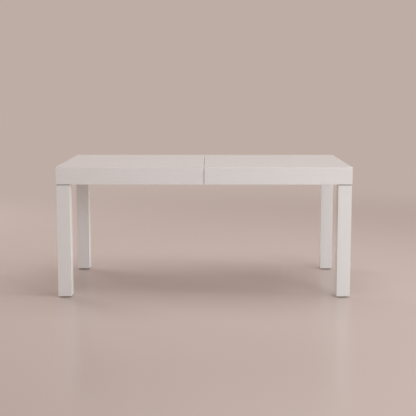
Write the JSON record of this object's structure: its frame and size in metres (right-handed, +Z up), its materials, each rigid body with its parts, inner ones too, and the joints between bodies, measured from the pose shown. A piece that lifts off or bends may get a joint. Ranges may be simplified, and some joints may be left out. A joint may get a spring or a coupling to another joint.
{
  "type": "extending dining table",
  "caption": "White dining table with a split top; the halves slide apart on a centre frame that stores loose leaves.",
  "frame": {"origin": "on the floor under the middle of the closed table", "axes": "+X along the table, +Y from the front to the back, +Z up"},
  "size_m": [1.7, 0.9, 0.76],
  "materials": {
    "white_lacquer": "satin white lacquer on board",
    "beech": "plain turned beech",
    "softwood": "planed softwood",
    "rail_aluminium": "clear anodised extrusion",
    "black_steel": "black powder coat",
    "zinc_steel": "bright zinc plate",
    "insert_brass": "machined brass",
    "glide_nylon": "natural nylon",
    "foot_plastic": "dark moulded plastic",
    "felt": "grey felt"
  },
  "bodies": {
    "centre_frame": {"front_slide_bar": "rail_aluminium", "rear_slide_bar": "rail_aluminium", "left_crossbar": "rail_aluminium", "right_crossbar": "rail_aluminium", "left_cradle": "black_steel", "right_cradle": "black_steel", "bar_end_glides": "glide_nylon", "frame_bolts": "zinc_steel", "lower_leaf": "white_lacquer", "upper_leaf": "white_lacquer", "leaf_dowels": "beech", "leaf_pads": "felt"},
    "left_half": {"latch_bases": "zinc_steel", "latch_rivets": "zinc_steel", "left_top": "white_lacquer", "left_front_apron": "white_lacquer", "left_rear_apron": "white_lacquer", "left_end_apron": "white_lacquer", "left_cleats": "softwood", "left_corner_blocks": "beech", "left_leg_plugs": "softwood", "left_leg_plates": "black_steel", "left_leg_bolts": "zinc_steel", "left_leg_washers": "zinc_steel", "left_threaded_inserts": "insert_brass", "left_mouth_glides": "glide_nylon", "left_stop_screws": "zinc_steel", "left_wood_screws": "zinc_steel", "front_left_leg": "white_lacquer", "front_left_runner": "rail_aluminium", "rear_left_leg": "white_lacquer", "rear_left_runner": "rail_aluminium"},
    "right_half": {"latch_keepers": "zinc_steel", "seam_dowels": "beech", "seam_bumpers": "glide_nylon", "right_top": "white_lacquer", "right_front_apron": "white_lacquer", "right_rear_apron": "white_lacquer", "right_end_apron": "white_lacquer", "right_cleats": "softwood", "right_corner_blocks": "beech", "right_leg_plugs": "softwood", "right_leg_plates": "black_steel", "right_leg_bolts": "zinc_steel", "right_leg_washers": "zinc_steel", "right_threaded_inserts": "insert_brass", "right_mouth_glides": "glide_nylon", "right_stop_screws": "zinc_steel", "right_wood_screws": "zinc_steel", "front_right_leg": "white_lacquer", "front_right_runner": "rail_aluminium", "rear_right_leg": "white_lacquer", "rear_right_runner": "rail_aluminium"},
    "front_left_foot": {"front_left_foot": "foot_plastic"},
    "rear_left_foot": {"rear_left_foot": "foot_plastic"},
    "front_right_foot": {"front_right_foot": "foot_plastic"},
    "rear_right_foot": {"rear_right_foot": "foot_plastic"},
    "front_latch": {"front_latch_lever": "zinc_steel"},
    "rear_latch": {"rear_latch_lever": "zinc_steel"}
  },
  "joints": [
    {"name": "left_half_slide", "type": "slide", "parent": "centre_frame", "child": "left_half", "axis": [-1, 0, 0], "range_m": [0, 0.5]},
    {"name": "right_half_slide", "type": "slide", "parent": "centre_frame", "child": "right_half", "axis": [1, 0, 0], "range_m": [0, 0.5]},
    {"name": "front_left_foot_level", "type": "slide", "parent": "left_half", "child": "front_left_foot", "axis": [0, 0, 1], "range_m": [-0.012, 0]},
    {"name": "rear_left_foot_level", "type": "slide", "parent": "left_half", "child": "rear_left_foot", "axis": [0, 0, 1], "range_m": [-0.012, 0]},
    {"name": "front_right_foot_level", "type": "slide", "parent": "right_half", "child": "front_right_foot", "axis": [0, 0, 1], "range_m": [-0.012, 0]},
    {"name": "rear_right_foot_level", "type": "slide", "parent": "right_half", "child": "rear_right_foot", "axis": [0, 0, 1], "range_m": [-0.012, 0]},
    {"name": "front_latch_turn", "type": "hinge", "parent": "left_half", "child": "front_latch", "pos_m": [-0.018, -0.388, 0.7277], "axis": [0, 0, 1], "range_deg": [-90, 0]},
    {"name": "rear_latch_turn", "type": "hinge", "parent": "left_half", "child": "rear_latch", "pos_m": [-0.018, 0.388, 0.7277], "axis": [0, 0, 1], "range_deg": [0, 90]}
  ]
}
